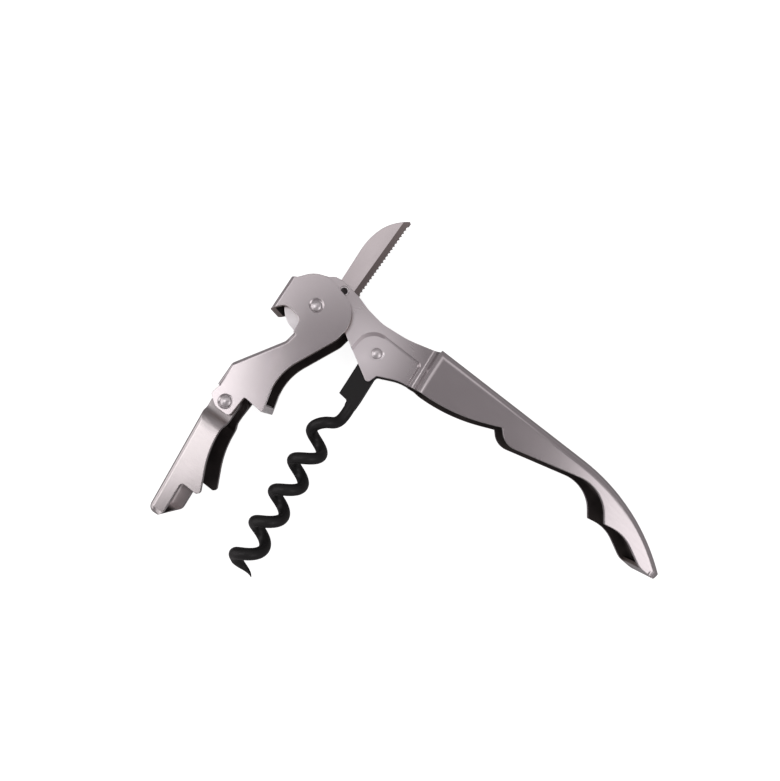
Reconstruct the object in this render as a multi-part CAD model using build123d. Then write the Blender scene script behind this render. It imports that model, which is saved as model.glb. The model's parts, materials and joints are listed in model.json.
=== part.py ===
from build123d import *
from math import atan2, cos, degrees, pi, radians, sin, tan
import os

# A two-step waiter's corkscrew in pressed steel, lying open on its side. Each piece is
# drawn in the side view about its own pivot, with Z along the pins and the mid-plane at
# Z = 0. The handle is drawn along +X, and the pieces that turn on it are drawn hanging
# down from their pivots (the blade standing up), then swung to where they rest. Sizes
# are in millimetres and angles in degrees.

# Sheet, wire and blade
gauge = 1.0                     # sheet of the handle and both levers
wire = 3.15                     # worm wire
shank_thickness = 3.0           # flat upper end of the worm
blade_thickness = 1.0

# Widths along the pins, and running gaps
handle_width = 12.6             # sleeve of the handle
boot_width = 12.6               # body of the lower lever
head_width = 7.8                # over the two cheeks of the head
side_gap = 0.2                  # between cheeks that turn on each other
pin_gap = 0.05                  # round every pin
washer_gap = 0.1                # beside a bush or a washer

# Pivots in the handle's side view, seen from the lever's pivot
worm_pivot = (20.65, 0.25)
knife_pivot = (3.0, 8.0)
lever_length = 35.2             # lever's pivot to the link rivet

# Rest pose: how far each piece is swung from hanging straight down (blade: up)
lever_swing = -3.6
boot_swing = 5.0
worm_swing = 7.7

# Handle
head_radius = 9.0
pin_lobe = 10.1                 # top of the head over the knife pin
back_height = 11.65             # straight back of the sleeve
back_bend = 2.3                 # outside radius of the folds along the back
joggle_place = 33.7             # where the head starts to widen
joggle_level = 5.0              # level at which that place is measured
joggle_run = 1.65
joggle_bend = 1.6               # inside radius of its two bends
joggle_slant = 7.0              # lean of the joggle towards the head
web_start = 0.6                 # joggle to the front end of the folded back
handle_tip = 111.4
tail_drop_start = 13.8          # tip to the corner where the back turns down
tail_turn = 39.6                # how far it turns down
tail_radius = 47.5
tail_round = 3.2                # corners of the tail seen from the back
tail_curl = 3.8                 # how far the sheet returns under the tip

# Pressed recess round the worm's rivet
recess_radius = 5.6
recess_corner = 1.2
recess_end = 1.4                # joggle to the end of the recess
recess_run = 0.7                # width of its sloping wall
shank_gap = 0.1                 # between the recess and the worm's shank

# Rivets and hollow knife pin
rivet_radius = 1.1
rivet_head = 1.55
rivet_dome = 0.5
dish_depth = 0.25
dish_flare = 0.5
knife_pin_radius = 1.35
knife_pin_wall = 0.35
bush_wall = 0.9

# Upper lever
lever_bend = 1.2                # outside radius of its folds
disc_gap = 0.5                  # head's edge to the folded webs round it
foot_height = 4.4               # step of the foot above the link rivet
foot_reach = 9.35               # tip of the foot beside the lever's axis
foot_lip = 1.8                  # height of the lip folded across the foot
foot_land = 3.3                 # length of the lip's lower side
web_relief = 2.0                # web stops this far above the link rivet

# Lower lever
boot_length = 33.9
boot_bend = 1.6                 # outside radius of its folds
boot_joggle = 4.1               # link rivet to where it starts to widen
boot_joggle_run = 2.1
boot_joggle_bend = 1.8          # inside radius of its two bends
boot_web_start = 1.5            # link rivet to the top of its folded spine
shoulder_drop = 23.5            # link rivet to the upper step
shoulder_reach = 9.3
lip_radius = 14.0               # of the hollow in the toe that takes a bottle's lip
lip_hollow = 0.8

# Worm
shank_length = 16.5
shank_width = 5.9
coil_radius = 2.97              # to the middle of the wire
coil_pitch = 9.6
coil_turns = 4.92
coil_offset = -1.64             # coil's axis beside the pivot
coil_start = 21.97              # pivot to the level where the coil would begin
lead_turn = 180.0               # part of the first turn taken by the neck's bend
lead_lift = 1.5                 # how much higher the neck's bend crosses the coil's axis
neck_offset = 1.15              # middle of the neck beside the pivot
point_turns = 0.44              # ground to a point over this much of a turn
point_radius = 0.15
point_lift = 1.8                # how much flatter than the coil the point is drawn

# Knife blade
blade_length = 28.0
blade_back = 4.95               # straight part of the back beside the pin
back_drop = 15.5                # tip to the end of that straight part
tang_radius = 2.9
bevel_width = 1.9
edge_thickness = 0.35
tooth_pitch = 1.15
tooth_radius = 0.6
tooth_depth = 0.42

# What follows from them
head_inner = head_width / 2 - gauge
lever_inner = head_width / 2 + side_gap
lever_outer = lever_inner + gauge
tang_outer = lever_inner - side_gap
recess_inner = shank_thickness / 2 + shank_gap
recess_outer = recess_inner + gauge
recess_depth = head_width / 2 - recess_outer
far = 90.0                      # well outside any piece
tiny = 1e-3


def outline(corners):
    """A closed outline from its corners, each (x, y, radius)."""
    points = [corner[:2] for corner in corners]
    radii = [corner[2] for corner in corners]
    return make_face(FilletPolyline(*points, radius=radii, close=True))


def plate(sketch, half):
    """A sketch of the side view made solid to the same depth on both sides."""
    return extrude(sketch, amount=half, both=True)


def block(x_low, x_high, y_low, y_high, half):
    """A rectangle of the side view made solid."""
    middle = Pos((x_low + x_high) / 2, (y_low + y_high) / 2, 0)
    return middle * Box(x_high - x_low, y_high - y_low, 2 * half)


def beyond(start, toward):
    """The point in line with two others that lies far past the second."""
    reach = far / (Vector(*toward) - Vector(*start)).length
    return tuple(a + (b - a) * (1 + reach) for a, b in zip(start, toward))


def within_folds(fold, closing, half, bend, inset):
    """The space inside a sheet folded along a line, or inset from it by the gauge."""
    region = make_face([*fold.edges(), *Polyline(fold @ 1, *closing, fold @ 0).edges()])
    if inset:
        region = offset(region, amount=-inset, kind=Kind.INTERSECTION)
    body = plate(region, half - inset)
    edges = []
    for edge in body.edges():
        middle = edge @ 0.5
        on_side = abs((edge @ 0).Z - (edge @ 1).Z) < tiny
        if on_side and abs(fold.distance_to(Vector(middle.X, middle.Y, 0)) - inset) < tiny:
            edges.append(edge)
    return fillet(edges, bend - inset)


def joggle_space(narrow, wide, run, bend, inset):
    """The space between two sides that step outwards from X = 0, seen from the back."""
    shift = inset * tan(atan2(wide - narrow, run) / 2)
    half = [(-far, narrow - inset, 0),
            (shift, narrow - inset, bend + inset),
            (run + shift, wide - inset, bend + gauge - inset),
            (2 * far, wide - inset, 0)]
    mirrored = [(x, -z, radius) for x, z, radius in reversed(half)]
    return plate(Plane.XZ * outline(half + mirrored), far)


def pin_hole(place, radius):
    """A hole through everything on a pin at a place of the side view."""
    return Pos(*place) * Cylinder(radius + pin_gap, 2 * far)


def dishes(place, face):
    """The shallow seats pressed round a rivet's two heads, at a cheek's outer face."""
    low = rivet_head + pin_gap
    seat = Pos(*place, face - dish_depth / 2) * Cone(low, low + dish_flare, dish_depth)
    return seat + mirror(seat, about=Plane.XY)


def rivet(face):
    """A rivet with a domed head in the dish of each outer face."""
    under = face - dish_depth + pin_gap
    dome_radius = (rivet_head ** 2 + rivet_dome ** 2) / (2 * rivet_dome)
    dome = Pos(0, 0, under + rivet_dome - dome_radius) * Sphere(dome_radius)
    head = dome & Pos(0, 0, under + rivet_dome) * Cylinder(rivet_head, 2 * rivet_dome)
    return Cylinder(rivet_radius, 2 * under) + head + mirror(head, about=Plane.XY)


def tube(bore, wall, half):
    """A short tube along Z."""
    return Cylinder(bore + wall, 2 * half) - Cylinder(bore, 2 * far)


# --- handle -----------------------------------------------------------------------------

tail_corner = handle_tip - tail_drop_start
web_front = joggle_place + web_start


def slope_height(x):
    """Level of the tail's sloping back."""
    return back_height - (x - tail_corner) * tan(radians(tail_turn))


tip_level = slope_height(handle_tip)
tip_heel = (handle_tip - 0.9, tip_level - 1.85)
tail_belly = (handle_tip - 5.4, tip_level - 1.65)


def handle_side():
    """Outline of the head, its neck and the sleeve with its finger scallops."""
    clear = back_height + 5
    sleeve = outline([
        (0, 0, 0), (-2.9, head_radius - 0.5, 0), (-1.3, pin_lobe - 0.35, 2),
        (0.8, pin_lobe, 2),
        (6.9, pin_lobe - 0.7, 0.3), (11.6, 8.1, 6), (17.0, 7.35, 12), (25.0, 8.2, 25),
        (joggle_place - 0.5, 10.5, 0), (web_front, 10.7, 0), (web_front, clear, 0),
        (handle_tip, clear, 0), (handle_tip, tip_level, 0.6), (*tip_heel, 0.9),
        (*tail_belly, 4), (handle_tip - 12.9, 2.75, 9), (handle_tip - 18.1, 1.65, 0.3),
        (handle_tip - 23.5, 8.9, 9.5), (joggle_place + 28.2, 1.75, 5),
        (joggle_place + 25.2, 4.95, 0.3), (joggle_place + 12.6, -0.7, 50),
        (joggle_place + 1.0, -1.1, 3), (29.8, -1.9, 12), (24.4, -4.6, 0.8),
        (23.7, -7.8, 0.9), (head_radius, 0, 0)])
    return sleeve + Circle(head_radius)


def handle_space(inset):
    """The space inside the handle's faces: open over the head, folded over the sleeve."""
    back = FilletPolyline((web_front - 10, back_height), (tail_corner, back_height),
                          (2 * far, slope_height(2 * far)), radius=[tail_radius])
    closing = [(2 * far, -3 * far), (web_front - 10, -3 * far)]
    sleeve = within_folds(back, closing, handle_width / 2, back_bend, inset)
    under = tip_heel[0] + 0.9 - tail_curl
    slope = (tail_belly[1] - tip_heel[1]) / (tail_belly[0] - tip_heel[0])
    curl_end = (under, tip_heel[1] + (under - tip_heel[0]) * slope)
    tip = make_face(Polyline((-far, far), (handle_tip, far), (handle_tip, tip_level), tip_heel,
                             curl_end, (under, -far), (-far, -far), close=True))
    if inset:
        tip = offset(tip, amount=-inset, kind=Kind.INTERSECTION)
        sleeve &= plate(tip, far)
    sleeve &= block(web_front, 2 * far, -far, far, far)
    space = sleeve + block(-far, web_front, -far, far, far)
    joggle = joggle_space(head_width / 2, handle_width / 2, joggle_run, joggle_bend, inset)
    space &= Pos(joggle_place, joggle_level, 0) * Rot(0, 0, joggle_slant) * joggle
    end = handle_tip + 0.2 - inset
    side = handle_width / 2 - inset
    rounded = outline([(-far, side + inset, 0), (end, side + inset, tail_round - inset),
                       (end, -side - inset, tail_round - inset), (-far, -side - inset, 0)])
    return space & plate(Plane.XZ * rounded, far)


def recess_side(grow):
    """Outline of the recess, which runs out over the head's lower edge."""
    left = worm_pivot[0] - 0.65 - recess_radius - grow
    top = worm_pivot[1] - 0.55 + recess_radius + grow
    lean = tan(radians(joggle_slant))
    right = joggle_place - recess_end + grow
    low = -3 * head_radius
    return outline([(left, low, 0), (left, top, recess_radius + grow),
                    (right + (joggle_level - top) * lean, top, recess_corner + grow),
                    (right + (joggle_level - low) * lean, low, 0)])


def recess_step(face, grow):
    """The block pressed inwards from a face, on both cheeks."""
    top = Pos(0, 0, face) * recess_side(grow)
    bottom = Pos(0, 0, face - recess_depth) * recess_side(grow - recess_run)
    step = loft([top, bottom], ruled=True)
    return step + mirror(step, about=Plane.XY)


def handle():
    """One sheet folded along its back, joggled in to the two cheeks of the head."""
    sheet = handle_space(0) - handle_space(gauge)
    wall_shift = gauge * tan(atan2(recess_depth, recess_run) / 2)
    sheet += recess_step(head_inner, wall_shift)
    sheet -= recess_step(head_width / 2, 0)
    sheet &= plate(handle_side(), handle_width)
    sheet -= pin_hole((0, 0), rivet_radius)
    sheet -= pin_hole(knife_pivot, knife_pin_radius)
    sheet -= pin_hole(worm_pivot, rivet_radius) + dishes(worm_pivot, recess_outer)
    return sheet


# --- upper lever ------------------------------------------------------------------------

mouth_back = (0.4, -head_radius - disc_gap)
relief = (-5.2, web_relief - lever_length)
beak_tip = (-9.0, -9.0)
beak_top = (-head_radius - disc_gap - 1.45, 1.4)
foot_level = foot_height - lever_length
spine_corners = [(0.3, -12.6, 2.0), (-6.3, -26.6, 1.6)]


def lever_side():
    """Outline of the upper lever with its opener, foot and rivet lobes."""
    link = -lever_length
    return outline([
        (*beak_tip, 0), (*beak_top, 0), (-9.3, 2.5, 0.6), (-5.4, 8.9, 8.1),
        (10.9, 6.0, 7.6), (10.5, -3.4, 5), (4.95, foot_level + 10.2, 16),
        (foot_reach, foot_level, 0.3), (2.9, foot_level - 0.2, 0.5),
        (3.5, link - 2.3, 1.2), (-1.2, link - 2.8, 3.5), (-4.5, link - 1.0, 1.0),
        (relief[0] + 0.9, relief[1], 0), (*relief, 0), *reversed(spine_corners),
        (*mouth_back, 0), (-0.75, -5.3, 2.5), (-6.5, -5.3, 2.5)])


def lever_channel(corners):
    """Two cheeks and the web folded along a line that runs far past both its ends."""
    points = [corner[:2] for corner in corners]
    radii = [corner[2] for corner in corners[1:-1]]
    first = beyond(points[1], points[0])
    last = beyond(points[-2], points[-1])
    if radii:
        fold = FilletPolyline(first, *points[1:-1], last, radius=radii)
    else:
        fold = Line(first, last)
    closing = [(far, last[1]), (far, first[1])]
    outside = within_folds(fold, closing, lever_outer, lever_bend, 0)
    return outside - within_folds(fold, closing, lever_outer, lever_bend, gauge)


def foot_lip_side():
    """Section of the lip that is folded round the foot's tip, between the cheeks."""
    tip = outline([(4.95, foot_level + 10.2, 0), (foot_reach, foot_level, 0.3),
                   (2.9, foot_level - 0.2, 0)])
    strip = tip - offset(tip, amount=-gauge, kind=Kind.INTERSECTION)
    window = Rectangle(foot_land + 1, foot_lip + 1, align=(Align.MAX, Align.MIN))
    return strip & Pos(foot_reach + 1, foot_level - 1, 0) * window


def upper_lever():
    """One sheet folded round the head, with the opener's beak, a foot and two lobes."""
    spine = [(*mouth_back, 0), *spine_corners, (*relief, 0)]
    beak = [(*beak_top, 0), (*beak_tip, 0)]
    gap = Box(9 * far, 9 * far, 2 * lever_inner)
    cheeks = block(-far, far, -far, relief[1], lever_outer) - gap
    middle = lever_channel(spine) & block(-far, far, relief[1], mouth_back[1], far)
    top = lever_channel(beak) & block(-far, far, mouth_back[1], far, far)
    sheet = (cheeks + middle + top) & plate(lever_side(), far)
    sheet += plate(foot_lip_side(), lever_inner + gauge / 2)
    for place in ((0, 0), (0, -lever_length)):
        sheet -= pin_hole(place, rivet_radius) + dishes(place, lever_outer)
    return sheet


# --- lower lever ------------------------------------------------------------------------

boot_spine_top = (-4.0, -boot_web_start)
toe_corners = [(-0.45, -boot_length, 2.0), (3.9, -boot_length + 0.1, 2.0)]


def boot_side():
    """Outline of the lower lever with its tang, upper step and toe."""
    return outline([
        (-3.5, 3.3, 3.2), (3.5, 3.2, 3.1), (3.6, -11.9, 28),
        (shoulder_reach, -shoulder_drop - 0.1, 0.9), (3.25, -shoulder_drop + 0.2, 0.9),
        *reversed(toe_corners), (*boot_spine_top, 0),
        (boot_spine_top[0] + 0.6, boot_spine_top[1] + 0.1, 0)])


def boot_space(inset):
    """The space inside the lower lever's faces."""
    heel, toe = [corner[:2] for corner in toe_corners]
    start = beyond(heel, boot_spine_top)
    end = beyond(heel, toe)
    fold = FilletPolyline(start, heel, end, radius=[toe_corners[0][2]])
    closing = [(end[0], start[1])]
    space = within_folds(fold, closing, boot_width / 2, boot_bend, inset)
    joggle = joggle_space(tang_outer, boot_width / 2, boot_joggle_run, boot_joggle_bend, inset)
    space &= Pos(0, -boot_joggle, 0) * Rot(0, 0, -90) * joggle
    hollow = Cylinder(lip_radius + inset, 4 * far, rotation=(0, 90, 0))
    return space - Pos(0, lip_hollow - boot_length - lip_radius, 0) * hollow


def lower_lever():
    """One sheet folded along its spine and round its toe, stepped in at the tang."""
    sheet = boot_space(0) & block(-far, far, -far, boot_spine_top[1], far)
    sheet += block(-far, far, boot_spine_top[1], far, tang_outer)
    inner = boot_space(gauge) + block(-far, far, -boot_joggle, far, tang_outer - gauge)
    return ((sheet - inner) & plate(boot_side(), far)) - pin_hole((0, 0), rivet_radius)


# --- worm -------------------------------------------------------------------------------


def coil_frame(turns):
    """Place and direction of the wire after some turns of the coil."""
    angle = 2 * pi * turns
    place = Vector(coil_offset + coil_radius * cos(angle), -coil_start - coil_pitch * turns,
                   coil_radius * sin(angle))
    heading = Vector(-coil_radius * sin(angle), -coil_pitch / (2 * pi), coil_radius * cos(angle))
    return Plane(origin=place, z_dir=heading)


def shank_side():
    """Outline of the flattened shank with its hook."""
    half = shank_width / 2
    low = -shank_length
    return outline([
        (-half, half + 0.1, half - 0.1), (half, half + 0.1, half - 0.1),
        (neck_offset + wire / 2 + 0.1, low + 3, 4), (neck_offset + wire / 2 - 0.1, low, 0.4),
        (neck_offset - wire / 2 + 0.1, low, 0.4), (neck_offset - wire / 2, low + 1.5, 0.6),
        (-half - 0.3, low + 2.1, 0.3)])


def worm():
    """Wire wound to a right-handed coil, ground to a point, with a forged flat shank."""
    shank = plate(shank_side(), shank_thickness / 2) - pin_hole((0, 0), rivet_radius)
    lead = lead_turn / 360
    start = coil_frame(lead)
    neck_top = Vector(neck_offset, 1.0 - shank_length, 0)
    neck_low = Vector(neck_offset, -0.5 - shank_length, 0)
    crossing = Vector(coil_offset, lead_lift - coil_start - coil_pitch / 4, coil_radius)
    bend = Spline(neck_low, crossing, start.origin, tangents=[(0, -1, 0), start.z_dir])
    path = Wire([*Line(neck_top, neck_low).edges(), *bend.edges()])
    circle = Circle(wire / 2)
    neck = sweep(Plane(origin=neck_top, z_dir=(0, -1, 0)) * circle, path=path)
    helix = Helix(coil_pitch, coil_pitch * (coil_turns - point_turns - lead), coil_radius)
    upright = Pos(coil_offset, -coil_start - coil_pitch * lead, 0) * Rot(90, 0, 0)
    coil = sweep(start * circle, path=upright * Rot(0, 0, lead_turn) * helix, is_frenet=True)
    sections = []
    steps = 6
    for step in range(steps + 1):
        part = step / steps
        frame = coil_frame(coil_turns - point_turns * (1 - part))
        ground = (wire / 2 - point_radius) * part ** 1.7
        outward = Vector(frame.origin.X - coil_offset, 0, frame.origin.Z).normalized()
        frame.origin += outward * ground * 0.7
        frame.origin += Vector(0, point_lift * part ** 2 * (3 - 2 * part), 0)
        sections.append(frame * Circle(wire / 2 - ground))
    return shank + neck + coil + loft(sections)


# --- knife ------------------------------------------------------------------------------

edge_root = (3.2, 2.0)
edge_tip = (1.25, blade_length - 0.3)


def knife_blade():
    """A curved foil knife with a round tang, bevelled and toothed along its edge."""
    tang = ThreePointArc((-tang_radius, 0), (0, -tang_radius), (tang_radius, 0))
    front = Polyline((tang_radius, 0), edge_root, edge_tip, (0.7, blade_length))
    top = Vector(0.7, blade_length)
    straight_end = Vector(-blade_back, blade_length - back_drop)
    heel = Vector(-tang_radius - 0.7, edge_root[1])
    back = Spline(top, straight_end + Vector(2.75, 0.81 * back_drop),
                  straight_end + Vector(1.05, 0.63 * back_drop),
                  straight_end + Vector(0.05, 0.4 * back_drop), straight_end,
                  tangents=[(-1.2, -1), heel - straight_end])
    straight = Polyline(straight_end, heel, (-tang_radius, 0))
    side = make_face([*tang.edges(), *front.edges(), *back.edges(), *straight.edges()])
    run = Vector(*edge_tip) - Vector(*edge_root)
    count = int((run.length - tooth_pitch) / tooth_pitch)
    lean = degrees(atan2(run.Y, run.X))
    along = Pos(*edge_root) * Rot(0, 0, lean)
    for tooth in range(count):
        place = along * Pos((tooth + 1) * tooth_pitch, tooth_depth - tooth_radius, 0)
        side -= place * Circle(tooth_radius)
    blade = plate(side, blade_thickness / 2)
    rise = (blade_thickness - edge_thickness) / 2 / bevel_width
    section = make_face(Polyline(
        (bevel_width, blade_thickness / 2), (-1, edge_thickness / 2 - rise),
        (-1, blade_thickness), (bevel_width, blade_thickness), close=True))
    upright = Plane(origin=along.position, x_dir=Vector(-run.Y, run.X, 0), z_dir=-run)
    bevel = extrude(upright * section, amount=-2 * blade_length)
    bevel += mirror(bevel, about=Plane.XY)
    bevel &= block(-far, far, edge_root[1], far, far)
    return blade - bevel - pin_hole((0, 0), knife_pin_radius)


# --- pins, bushes and washers -----------------------------------------------------------


def knife_pin():
    """A hollow pin, flush with the head's cheeks."""
    bore = knife_pin_radius - knife_pin_wall
    return tube(bore, knife_pin_wall, head_width / 2)


def knife_spacers():
    """Two washers that hold the thin blade in the middle of the head."""
    low = blade_thickness / 2 + washer_gap
    high = head_inner - washer_gap
    washer = tube(knife_pin_radius + pin_gap, bush_wall, (high - low) / 2)
    return [Pos(0, 0, side * (low + high) / 2) * washer for side in (1, -1)]


def cheek_bush():
    """A tube on a rivet that keeps two inner cheeks apart."""
    return tube(rivet_radius + pin_gap, bush_wall, head_inner - washer_gap)


# --- assembly ---------------------------------------------------------------------------

lever_place = Rot(0, 0, lever_swing)
link_place = lever_place * Pos(0, -lever_length, 0)
boot_place = Pos(link_place.position) * Rot(0, 0, boot_swing)
knife_place = Pos(*knife_pivot)

nodes = {
    "handle": [handle()],
    "upper_lever": [lever_place * upper_lever()],
    "lower_lever": [boot_place * lower_lever()],
    "worm": [Pos(*worm_pivot) * Rot(0, 0, worm_swing) * worm()],
    "knife_blade": [knife_place * knife_blade()],
    "lever_rivet": [rivet(lever_outer)],
    "lever_bush": [cheek_bush()],
    "link_rivet": [link_place * rivet(lever_outer)],
    "link_bush": [link_place * cheek_bush()],
    "worm_rivet": [Pos(*worm_pivot) * rivet(recess_outer)],
    "knife_pin": [knife_place * knife_pin()],
    "knife_spacers": [knife_place * washer for washer in knife_spacers()],
}

everything = [Compound(solid.solids()) for solids in nodes.values() for solid in solids]
box = Compound(children=everything).bounding_box()
ground = Pos(-(box.min.X + box.max.X) / 2, -(box.min.Y + box.max.Y) / 2, -box.min.Z)

os.makedirs("parts", exist_ok=True)
for name, solids in nodes.items():
    placed = [ground * piece for solid in solids for piece in solid.solids()]
    export_step(placed[0] if len(placed) == 1 else Compound(placed), f"parts/{name}.step")
    print(name, len(placed), "solids", round(sum(piece.volume for piece in placed), 2), "mm3")
print("lever pivot at", ground.position, "box", box.size)
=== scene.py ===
import json
from math import cos, pi, radians, sin

import bpy
from mathutils import Matrix, Vector
from mathutils.bvhtree import BVHTree


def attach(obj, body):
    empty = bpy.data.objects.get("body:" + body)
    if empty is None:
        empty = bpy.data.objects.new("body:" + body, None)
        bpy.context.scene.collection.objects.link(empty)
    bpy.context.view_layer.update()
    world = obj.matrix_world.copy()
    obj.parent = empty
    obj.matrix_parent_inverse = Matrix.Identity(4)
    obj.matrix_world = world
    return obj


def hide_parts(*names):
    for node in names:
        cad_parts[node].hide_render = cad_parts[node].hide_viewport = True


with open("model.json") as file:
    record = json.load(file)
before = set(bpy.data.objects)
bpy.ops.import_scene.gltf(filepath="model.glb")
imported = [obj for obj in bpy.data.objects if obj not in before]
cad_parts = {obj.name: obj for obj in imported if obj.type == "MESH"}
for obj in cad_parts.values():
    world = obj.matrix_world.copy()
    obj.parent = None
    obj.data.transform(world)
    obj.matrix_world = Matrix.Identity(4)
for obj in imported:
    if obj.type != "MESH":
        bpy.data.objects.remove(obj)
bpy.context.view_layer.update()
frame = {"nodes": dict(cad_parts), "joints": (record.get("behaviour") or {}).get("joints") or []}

nodes = frame["nodes"]
bpy.ops.object.select_all(action="DESELECT")


# --- table and studio -------------------------------------------------------------------
# The corkscrew lies on its side on a plain white table top. Two wide soft boxes hang left
# and right above it, with a dim gap between them that the flat faces mirror, a fainter box
# hangs beyond them, and an upright panel on the left lights the bends and the domed heads.

view_turn = radians(38.885)     # from the handle's length to the camera's sideways axis
table_side = 6
table_glow = 0.90
lamp_tint = (1.0, 0.965, 0.975)

bpy.ops.mesh.primitive_plane_add(size=table_side, location=(0, 0, 0))
table_top = bpy.context.object
table_top.name = "table_top"
bpy.ops.object.transform_apply()


def blank_material(name):
    """A new material, with its node tree and its shader."""
    material = bpy.data.materials.new(name)
    material.use_nodes = True
    return material, material.node_tree, material.node_tree.nodes["Principled BSDF"]


def lit_table():
    """A white sheet lit from beneath for the eye, and a dull one for what lies on it."""
    material, tree, paper = blank_material("table_white")
    paper.inputs["Base Color"].default_value = (0.5, 0.5, 0.5, 1)
    paper.inputs["Roughness"].default_value = 0.9
    paper.inputs["Specular IOR Level"].default_value = 0.1
    glow = tree.nodes.new("ShaderNodeEmission")
    glow.inputs["Color"].default_value = (1, 1, 1, 1)
    glow.inputs["Strength"].default_value = table_glow
    both = tree.nodes.new("ShaderNodeAddShader")
    seen = tree.nodes.new("ShaderNodeLightPath")
    choice = tree.nodes.new("ShaderNodeMixShader")
    link = tree.links.new
    link(paper.outputs["BSDF"], both.inputs[0])
    link(glow.outputs["Emission"], both.inputs[1])
    link(seen.outputs["Is Camera Ray"], choice.inputs["Fac"])
    link(paper.outputs["BSDF"], choice.inputs[1])
    link(both.outputs["Shader"], choice.inputs[2])
    link(choice.outputs["Shader"], tree.nodes["Material Output"].inputs["Surface"])
    return material


table_top.data.materials.append(lit_table())
bpy.context.scene.view_settings.view_transform = "Standard"


def dim_studio():
    """A room that is a little paler at the walls than overhead."""
    world = bpy.data.worlds.new("studio")
    world.use_nodes = True
    tree = world.node_tree
    place = tree.nodes.new("ShaderNodeTexCoord")
    height = tree.nodes.new("ShaderNodeSeparateXYZ")
    walls = tree.nodes.new("ShaderNodeValToRGB")
    walls.color_ramp.elements[0].position = 0.0
    walls.color_ramp.elements[0].color = (0.36, 0.335, 0.345, 1)
    walls.color_ramp.elements[1].position = 0.85
    walls.color_ramp.elements[1].color = (0.29, 0.267, 0.277, 1)
    link = tree.links.new
    link(place.outputs["Generated"], height.inputs["Vector"])
    link(height.outputs["Z"], walls.inputs["Fac"])
    link(walls.outputs["Color"], tree.nodes["Background"].inputs["Color"])
    return world


bpy.context.scene.world = dim_studio()


def soft_box(name, across, along, width, depth, height, power, lean=0.0):
    """A lamp panel over the table; across and along are in the camera's own directions."""
    light = bpy.data.lights.new(name, "AREA")
    light.shape = "RECTANGLE"
    light.size = width
    light.size_y = depth
    light.energy = power
    light.color = lamp_tint
    lamp = bpy.data.objects.new(name, light)
    bpy.context.collection.objects.link(lamp)
    lamp.rotation_euler = (0, lean, view_turn)
    lamp.location = Matrix.Rotation(view_turn, 3, "Z") @ Vector((across, along, height))


soft_box("left_box", across=-0.60, along=0.18, width=0.60, depth=0.48, height=0.85,
         power=1.55)
soft_box("right_box", across=0.63, along=-0.36, width=0.62, depth=0.75, height=0.85,
         power=2.1)
soft_box("top_box", across=0.05, along=0.52, width=0.90, depth=0.42, height=0.85,
         power=0.62)
soft_box("left_wall", across=-1.15, along=0.10, width=0.80, depth=1.20, height=0.46,
         power=2.7, lean=radians(-90))

film_width = 36
frame_width_px = 780
focal_length_px = 505
camera_place = (-0.00675, 0.00060, 0.14364)
camera_pitch = radians(7.055)
camera_roll = radians(1.745)
lens = bpy.data.cameras.new("camera")
lens.sensor_width = film_width
lens.lens = film_width * focal_length_px / frame_width_px
lens.clip_start = 0.005
camera = bpy.data.objects.new("camera", lens)
camera.location = camera_place
camera.rotation_euler = (camera_pitch, camera_roll, view_turn)
bpy.context.collection.objects.link(camera)
bpy.context.scene.camera = camera


# --- handle -----------------------------------------------------------------------------
# One steel sheet, cut out and folded to a channel, with two narrow cheeks for the head.
# It was tumbled after pressing, so its cut edges are eased and its faces are satin.
# Inside the channel the sheet is coloured near black, as painted shade.

sheet_gauge = 0.001
edge_ease = 0.00024
grain_along = 350               # how finely the grain changes along its scratches, per metre
grain_across = 6000             # and across them
brightest = 0.97                # no painted highlight is paler than this
frosted = 0.48                  # roughness at the places painted with light or shade, where the satin is frosted


def noise(tree, place, scale, detail):
    """A fine cloudy pattern on the surface, as a share from 0 to 1."""
    cloud = tree.nodes.new("ShaderNodeTexNoise")
    cloud.inputs["Scale"].default_value = scale
    cloud.inputs["Detail"].default_value = detail
    tree.links.new(place, cloud.inputs["Vector"])
    return cloud.outputs["Fac"]


def value_between(tree, share, low, high):
    """A value that goes from low to high as the share goes from 0 to 1."""
    span = tree.nodes.new("ShaderNodeMapRange")
    span.inputs["To Min"].default_value = low
    span.inputs["To Max"].default_value = high
    tree.links.new(share, span.inputs["Value"])
    return span.outputs["Result"]


def mixed(tree, share, start, end, kind="FLOAT"):
    """Two values, or two colours, mixed by a share; the first may be another's output."""
    blend = tree.nodes.new("ShaderNodeMix")
    blend.data_type = kind
    if isinstance(start, bpy.types.NodeSocket):
        tree.links.new(start, blend.inputs["A"])
    else:
        blend.inputs["A"].default_value = start
    blend.inputs["B"].default_value = end
    tree.links.new(share, blend.inputs["Factor"])
    return blend.outputs["Result"]


def near_place(tree, place, centre, reach):
    """A share of 1 at a centre that fades to 0 at its reach along each axis."""
    around = tree.nodes.new("ShaderNodeMapping")
    around.vector_type = "TEXTURE"
    around.inputs["Location"].default_value = centre
    around.inputs["Scale"].default_value = reach
    fade = tree.nodes.new("ShaderNodeTexGradient")
    fade.gradient_type = "SPHERICAL"
    tree.links.new(place, around.inputs["Vector"])
    tree.links.new(around.outputs["Vector"], fade.inputs["Vector"])
    return fade.outputs["Fac"]


def eased_edges(tree):
    """The surface's direction where tumbling has rounded every edge of the sheet."""
    rolled = tree.nodes.new("ShaderNodeBevel")
    rolled.samples = 6
    rolled.inputs["Radius"].default_value = edge_ease
    return rolled.outputs["Normal"]


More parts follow.
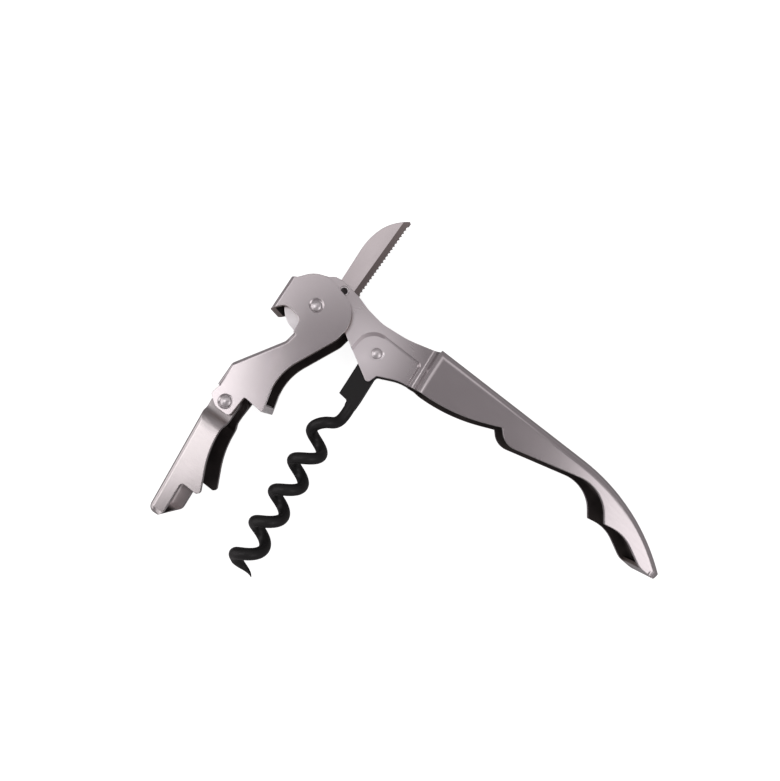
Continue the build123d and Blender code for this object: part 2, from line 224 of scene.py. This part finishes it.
def satin_steel(name, tone, brushing, painted_light_places=(), gloss=(0.17, 0.26), mottle=0.93):
    """Tumbled stainless sheet with a faint grain along the direction it was ground.

    Each painted place is (x, y, reach, gain): the satin there is frosted, and its colour is a
    painted highlight, or a painted shadow where the gain is under 1.
    """
    material, tree, shader = blank_material(name)
    shader.inputs["Metallic"].default_value = 1.0
    shader.inputs["Anisotropic"].default_value = 0.25
    place = tree.nodes.new("ShaderNodeTexCoord").outputs["Object"]
    scratches = tree.nodes.new("ShaderNodeMapping")
    scratches.inputs["Rotation"].default_value = (0, 0, -brushing)
    scratches.inputs["Scale"].default_value = (grain_along, grain_across, grain_across)
    bump = tree.nodes.new("ShaderNodeBump")
    bump.inputs["Strength"].default_value = 0.06
    bump.inputs["Distance"].default_value = 0.00002
    link = tree.links.new
    link(place, scratches.inputs["Vector"])
    grain = noise(tree, scratches.outputs["Vector"], 1.0, 3.0)
    cloud = noise(tree, place, 110.0, 2.0)
    darker = (*[part * mottle for part in tone], 1)
    colour = mixed(tree, cloud, darker, (*tone, 1), "RGBA")
    rough = value_between(tree, grain, *gloss)
    # Painted light: each place paints the colour paler as a highlight, or darker as a shadow
    # where the gain is under 1.
    for x, y, reach, gain in painted_light_places:
        share = near_place(tree, place, (x, y, 0), (reach, reach, 1))
        painted_tone = (*[min(part * gain, brightest) for part in tone], 1)
        colour = mixed(tree, share, colour, painted_tone, "RGBA")
        rough = mixed(tree, share, rough, frosted)
    link(colour, shader.inputs["Base Color"])
    link(rough, shader.inputs["Roughness"])
    link(eased_edges(tree), bump.inputs["Normal"])
    link(grain, bump.inputs["Height"])
    link(bump.outputs["Normal"], shader.inputs["Normal"])
    return material


def inner_painted_shade(painted_lit):
    """Painted shade: a near-black colour inside a folded channel, duller where the tumbling
    doesn't reach.

    The painted-light place is (x, y, z, reach): at the toe, where its open notch lets light in,
    the inside is painted pale over the inner half of its reach.
    """
    material, tree, shader = blank_material("inner_painted_shade")
    shader.inputs["Metallic"].default_value = 0.85
    place = tree.nodes.new("ShaderNodeTexCoord").outputs["Object"]
    stain = noise(tree, place, 260.0, 4.0)
    # Painted shade: the inside's two near-black tones.
    skin = mixed(tree, stain, (0.035, 0.030, 0.030, 1), (0.11, 0.095, 0.09, 1), "RGBA")
    *centre, reach = painted_lit
    lit_share = tree.nodes.new("ShaderNodeMapRange")
    lit_share.inputs["From Max"].default_value = 0.5
    link = tree.links.new
    link(near_place(tree, place, centre, (reach, reach, reach)), lit_share.inputs["Value"])
    # Painted light: the toe's inside, lit through its notch, is painted pale.
    colour = mixed(tree, lit_share.outputs["Result"], skin, (0.85, 0.80, 0.80, 1), "RGBA")
    link(colour, shader.inputs["Base Color"])
    link(value_between(tree, stain, 0.42, 0.62), shader.inputs["Roughness"])
    return material


def sheared_and_shaded_steel():
    """The duller, slightly brown cut edge that the press tool leaves through the sheet, darkened
    further as painted shade.
    """
    across_streaks = 6000
    through_sheet = 500
    material, tree, shader = blank_material("sheared_and_shaded_steel")
    shader.inputs["Metallic"].default_value = 1.0
    place = tree.nodes.new("ShaderNodeTexCoord").outputs["Object"]
    lines = tree.nodes.new("ShaderNodeMapping")
    lines.inputs["Scale"].default_value = (across_streaks, across_streaks, through_sheet)
    link = tree.links.new
    link(place, lines.inputs["Vector"])
    streaks = noise(tree, lines.outputs["Vector"], 1.0, 2.0)
    # Partly painted shade: the dark brown tones also stand in for the shade the edges mirror.
    colour = mixed(tree, streaks, (0.40, 0.34, 0.32, 1), (0.62, 0.55, 0.52, 1), "RGBA")
    link(colour, shader.inputs["Base Color"])
    link(value_between(tree, streaks, 0.30, 0.45), shader.inputs["Roughness"])
    link(eased_edges(tree), shader.inputs["Normal"])
    return material


def painted_bright_steel():
    """Painted highlight: the step that rests on glass is coloured near white and a little
    frosted.
    """
    material, tree, shader = blank_material("painted_bright_steel")
    shader.inputs["Metallic"].default_value = 0.1
    shader.inputs["Roughness"].default_value = 0.45
    place = tree.nodes.new("ShaderNodeTexCoord").outputs["Object"]
    scuffs = noise(tree, place, 900.0, 3.0)
    colour = mixed(tree, scuffs, (0.93, 0.91, 0.91, 1), (1.0, 0.99, 0.99, 1), "RGBA")
    tree.links.new(colour, shader.inputs["Base Color"])
    return material


pins = {joint["name"]: Vector(joint["pos_m"]) for joint in frame["joints"]}
lever_pin = pins["lever_pivot"]
worm_pin = pins["worm_pivot"]
link_pin = pins["boot_pivot"]
# Painted light: a pale place inside the toe, where light comes in through the notch.
toe_painted_light = (link_pin.x + 0.0052, link_pin.y - 0.0305, 0.001, 0.0065)
# Painted shade for the faces inside the channels.
inner_shade = inner_painted_shade(toe_painted_light)
# The cut edges' darker colour is partly painted shade.
cut_edge = sheared_and_shaded_steel()
# Painted highlight for the steps that rest on glass.
painted_bright_step = painted_bright_steel()


def cone_of_rays(normal):
    """Directions about a normal: itself, and six on each of two rings that lean from it."""
    side = normal.orthogonal().normalized()
    rays = [normal]
    for lean in (radians(20), radians(45)):
        for turn in range(0, 360, 60):
            around = Matrix.Rotation(radians(turn), 3, normal) @ side
            rays.append(normal * cos(lean) + around * sin(lean))
    return rays


def smooth_areas(sheet):
    """For each face, a number for its area: areas end at the sharp edges of the cut."""
    sharp_from = radians(35)
    joined_to = list(range(len(sheet.data.polygons)))

    def area(index):
        while joined_to[index] != index:
            index = joined_to[index]
        return index

    sides = {}
    for face in sheet.data.polygons:
        for edge in face.edge_keys:
            sides.setdefault(edge, []).append(face)
    for faces in sides.values():
        if len(faces) == 2 and faces[0].normal.angle(faces[1].normal, 0) < sharp_from:
            joined_to[area(faces[0].index)] = area(faces[1].index)
    return [area(index) for index in joined_to]


def finish_faces(sheet, satin, painted_lit):
    """Satin outside, painted shade where the sheet faces itself, dull and partly painted shade
    where it was cut.

    A cut face has more steel behind it than the sheet's gauge. An inner face has another
    wall before it, at a channel's width or less. The whole smooth area gets the finish that
    most of it votes for. Each painted-light place is (x, y, reach): a step painted bright.
    """
    cut_depth = 1.6 * sheet_gauge
    wall_from = 2 * sheet_gauge
    channel_width = 0.016
    most_open = 3                   # an outer face may have this many rays that meet a wall
    clear_of_face = sheet_gauge * 0.02
    finishes = (satin, inner_shade, cut_edge, painted_bright_step)
    sheet.data.materials.clear()
    for material in finishes:
        sheet.data.materials.append(material)
    corners = [corner.co for corner in sheet.data.vertices]
    walls = BVHTree.FromPolygons(corners, [face.vertices for face in sheet.data.polygons])
    areas = smooth_areas(sheet)
    votes = {}
    for piece in sheet.data.loop_triangles:
        centre = sum((corners[i] for i in piece.vertices), Vector()) / 3
        off = piece.normal * clear_of_face
        depth = walls.ray_cast(centre - off, -piece.normal)[3] or 0
        reaches = [walls.ray_cast(centre + off, ray, channel_width)[3] or 0
                   for ray in cone_of_rays(piece.normal)]
        facing = [reach for reach in reaches if reach > wall_from]
        finish = satin
        if depth > cut_depth:
            finish = cut_edge
        # A face that other walls enclose gets the painted shade.
        elif len(facing) > most_open:
            finish = inner_shade
        tally = votes.setdefault(areas[piece.polygon_index], [0, 0, 0])
        tally[finishes.index(finish)] += piece.area
    for face, area in zip(sheet.data.polygons, areas):
        face.material_index = votes[area].index(max(votes[area]))
        # A step inside a painted-light place gets the painted highlight.
        if any((face.center.xy - Vector((x, y))).length < reach for x, y, reach in painted_lit):
            face.material_index = finishes.index(painted_bright_step)


def copy_of(node, name):
    """A copy of a solid's mesh, under a name of its own."""
    piece = nodes[node].copy()
    piece.data = nodes[node].data.copy()
    piece.name = name
    bpy.context.collection.objects.link(piece)
    return piece


def eased_sheet(node, name, body, satin, painted_lit=()):
    """A copy of a pressed sheet, its flats and bends shaded true, with its finishes."""
    same_corner = 0.00002
    same_flat = radians(0.2)
    still_smooth = radians(16)
    sheet = copy_of(node, name)
    bpy.context.view_layer.objects.active = sheet
    sheet.select_set(True)
    bpy.ops.object.mode_set(mode="EDIT")
    bpy.ops.mesh.select_all(action="SELECT")
    bpy.ops.mesh.remove_doubles(threshold=same_corner)
    bpy.ops.mesh.dissolve_limited(angle_limit=same_flat)
    bpy.ops.object.mode_set(mode="OBJECT")
    bpy.ops.object.shade_smooth_by_angle(angle=still_smooth)
    flats = sheet.modifiers.new("flats", "WEIGHTED_NORMAL")
    flats.keep_sharp = True
    flats.weight = 90
    bpy.ops.object.modifier_apply(modifier=flats.name)
    finish_faces(sheet, satin, painted_lit)
    sheet.select_set(False)
    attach(sheet, body)
    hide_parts(node)


# Painted highlights: the worm pin's recess and the opener's mouth are coloured paler and
# frosted, for the light they catch.
recess_painted_highlight = (worm_pin.x - 0.002, worm_pin.y - 0.003, 0.017, 1.65)
mouth_painted_highlight = (lever_pin.x - 0.003, lever_pin.y - 0.0075, 0.006, 1.7)
handle_satin = satin_steel("handle_satin", (0.60, 0.565, 0.575), 0.0,
                           [recess_painted_highlight, mouth_painted_highlight])
eased_sheet("handle", "handle_sheet", "handle", handle_satin)


# --- upper lever ------------------------------------------------------------------------
# The first lever, folded from one sheet round the head. Its beak lifts crown caps, and
# the lip across its foot is the first step that rests on a bottle's rim.

lever_satin = satin_steel("lever_satin", (0.62, 0.585, 0.595), radians(62))
# Painted highlight: the foot's lip is coloured near white.
foot_lip = (lever_pin.x + 0.0064, lever_pin.y - 0.0284, 0.0035)
eased_sheet("upper_lever", "upper_lever_sheet", "upper_lever", lever_satin, [foot_lip])


# --- lower lever ------------------------------------------------------------------------
# The boot, a channel folded from one sheet and pressed narrow at its tang, with a step at
# its shoulder and another at its toe.

# Painted highlight: the shoulder's ramp is coloured paler and frosted, for the light its crest
# catches.
ramp_painted_highlight = (link_pin.x + 0.002, link_pin.y - 0.0045, 0.005, 1.5)
# Painted shadow: round the link pin the colour is darkened, for the shade under the lobe.
joint_painted_shadow = (link_pin.x, link_pin.y, 0.009, 0.35)
boot_satin = satin_steel("boot_satin", (0.575, 0.545, 0.545), radians(88),
                         [ramp_painted_highlight, joint_painted_shadow])
eased_sheet("lower_lever", "lower_lever_sheet", "lower_lever", boot_satin)


# --- worm -------------------------------------------------------------------------------
# A steel wire wound to a right-handed coil and ground to a point, with its upper end
# forged flat. It's dipped in a black non-stick coating, which lies a little uneven. The
# solid's point is drawn thin from its start; a copy of it is reshaped to the ground point.

wire_radius = 0.001575
coil_radius = 0.00297
coil_offset = -0.00164          # the coil's axis, beside the middle of the shank
coil_start = 0.02197            # from the pin down to the coil's first turn
coil_pitch = 0.0096
worm_swing = radians(7.7)
worm_place = Matrix.Translation(worm_pin) @ Matrix.Rotation(worm_swing, 4, "Z")
full_turns = 4.48               # turns of full wire, down to where the tip begins
tip_below = 0.060               # no corner of the tip is nearer to the pin than this
tip_steps = 160


def worm_coating():
    """Black non-stick coating, half gloss, with the slight unevenness of a dipped coat."""
    material, tree, shader = blank_material("worm_coating")
    shader.inputs["Base Color"].default_value = (0.016, 0.016, 0.016, 1)
    shader.inputs["Specular IOR Level"].default_value = 0.3
    place = tree.nodes.new("ShaderNodeTexCoord").outputs["Object"]
    skin = noise(tree, place, 900.0, 3.0)
    bump = tree.nodes.new("ShaderNodeBump")
    bump.inputs["Strength"].default_value = 0.25
    bump.inputs["Distance"].default_value = 0.00008
    link = tree.links.new
    link(value_between(tree, skin, 0.34, 0.50), shader.inputs["Roughness"])
    link(skin, bump.inputs["Height"])
    link(bump.outputs["Normal"], shader.inputs["Normal"])
    return material


def coil_place(turns, outward, lift):
    """Middle of the wire after some turns, moved out from the axis and up along it."""
    angle = 2 * pi * turns
    reach = coil_radius + outward
    height = lift - coil_start - coil_pitch * turns
    return Vector((coil_offset + reach * cos(angle), height, reach * sin(angle)))


def drawn_tip(share):
    """Middle and thickness of the solid's tip, at a share of the way to its point."""
    tip_turns = 0.44
    point_radius = 0.00015
    point_lift = 0.0018
    ground = (wire_radius - point_radius) * share ** 1.7
    lift = point_lift * share ** 2 * (3 - 2 * share)
    middle = coil_place(full_turns + tip_turns * share, 0.7 * ground, lift)
    return middle, wire_radius - ground


def ground_tip(share):
    """The same for the ground tip: full over its first third, and then an even taper."""
    tip_turns = 0.428
    point_radius = 0.000125
    point_lift = 0.0004
    sag = 0.0006
    full_share = 0.36
    taper = max(0.0, (share - full_share) / (1 - full_share))
    ground = (wire_radius - point_radius) * taper ** 1.1
    lift = point_lift * share ** 2 - sag * sin(pi * share) ** 2
    middle = coil_place(full_turns + tip_turns * share, 0.95 * ground, lift)
    return middle, wire_radius - ground


def tip_line(tip):
    """Middles, directions and thicknesses along a tip, in even steps."""
    nudge = 0.002
    line = []
    for step in range(tip_steps + 1):
        share = step / tip_steps
        middle, thickness = tip(share)
        ahead = tip(share + nudge)[0] - tip(max(share - nudge, 0.0))[0]
        line.append((middle, ahead.normalized(), thickness))
    return line


def grind_tip(wire):
    """Moves each corner of the solid's tip to the same place round the ground tip."""
    tip_reach = 1.2 * wire_radius   # a corner further out belongs to the turn above
    drawn = tip_line(drawn_tip)
    ground = tip_line(ground_tip)
    to_worm = worm_place.inverted()
    for corner in wire.vertices:
        place = to_worm @ corner.co
        if place.y > -tip_below:
            continue
        near = min(range(tip_steps + 1), key=lambda step: (place - drawn[step][0]).length)
        middle, ahead, thickness = drawn[near]
        if near == 0 or (place - middle).length > tip_reach:
            continue
        new_middle, new_ahead, new_thickness = ground[near]
        offset = ahead.rotation_difference(new_ahead) @ (place - middle)
        corner.co = worm_place @ (new_middle + offset * (new_thickness / thickness))


worm_wire = copy_of("worm", "worm_wire")
worm_wire.data.materials.clear()
worm_wire.data.materials.append(worm_coating())
grind_tip(worm_wire.data)
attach(worm_wire, "worm")
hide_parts("worm")


# --- knife blade ------------------------------------------------------------------------
# A small foil knife of hardened steel, ground across, with its bevel and teeth cut last.

blade_steel = satin_steel("blade_steel", (0.74, 0.69, 0.695), radians(-8), mottle=0.84)
# Painted shade: the bevel's dark tone stands for the dim surroundings its tilt mirrors.
bevel_shade_tone = (0.30, 0.26, 0.25)
bevel_upright = 0.990           # how far up a face looks: the bevel less, the flats fully
flat_upright = 0.998


def darken_bevel(material):
    """The ground bevel beside the teeth is coarse, and coloured dark as painted shade for the
    dim surroundings it mirrors; the flats are satin.
    """
    tree = material.node_tree
    shader = tree.nodes["Principled BSDF"]
    flat_colour = shader.inputs["Base Color"].links[0].from_socket
    facing = tree.nodes.new("ShaderNodeTexCoord")
    parts = tree.nodes.new("ShaderNodeSeparateXYZ")
    upright = tree.nodes.new("ShaderNodeMath")
    upright.operation = "ABSOLUTE"
    leaning = tree.nodes.new("ShaderNodeMapRange")
    leaning.inputs["From Min"].default_value = flat_upright
    leaning.inputs["From Max"].default_value = bevel_upright
    link = tree.links.new
    link(facing.outputs["Normal"], parts.inputs["Vector"])
    link(parts.outputs["Z"], upright.inputs[0])
    link(upright.outputs["Value"], leaning.inputs["Value"])
    # The bevel's dark colour is painted shade.
    colour = mixed(tree, leaning.outputs["Result"], flat_colour, (*bevel_shade_tone, 1), "RGBA")
    link(colour, shader.inputs["Base Color"])


darken_bevel(blade_steel)
nodes["knife_blade"].data.materials.clear()
nodes["knife_blade"].data.materials.append(blade_steel)


# --- rivets, knife pin, bushes and washers ----------------------------------------------
# Turned steel pins, closed in a press that leaves their heads domed and bright.

pin_steel = satin_steel("pin_steel", (0.78, 0.75, 0.76), 0.0, gloss=(0.32, 0.42))
for name in ("lever_rivet", "link_rivet", "worm_rivet", "knife_pin", "lever_bush",
             "link_bush", "knife_spacers"):
    nodes[name].data.materials.clear()
    nodes[name].data.materials.append(pin_steel)
